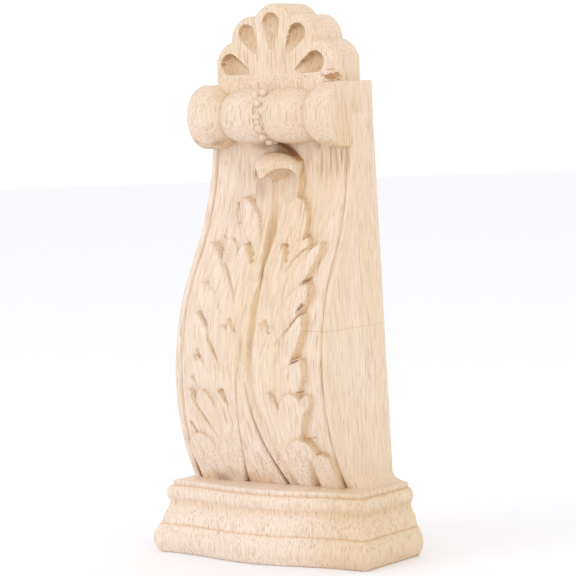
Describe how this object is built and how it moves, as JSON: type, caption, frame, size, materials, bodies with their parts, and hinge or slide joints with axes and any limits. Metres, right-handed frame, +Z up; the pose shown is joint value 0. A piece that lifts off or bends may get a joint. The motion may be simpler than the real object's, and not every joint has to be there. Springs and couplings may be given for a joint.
{
  "type": "carved wooden corbel",
  "caption": "Flat-backed wooden corbel with a scalloped shell crest, a turned roll, an S-shaped front carved with an acanthus leaf, and a moulded plinth.",
  "frame": {"origin": "on the flat back, on the centre line, 75 mm above the underside", "axes": "+Z up towards the shell crest, +Y out of the flat back towards the wall, -Y the carved front, +X to the right of a viewer facing the front"},
  "size_m": [0.0712, 0.032, 0.15],
  "materials": {
    "rubberwood": "unfinished, sanded"
  },
  "bodies": {
    "root": {"carved_corbel": "rubberwood"}
  },
  "joints": []
}
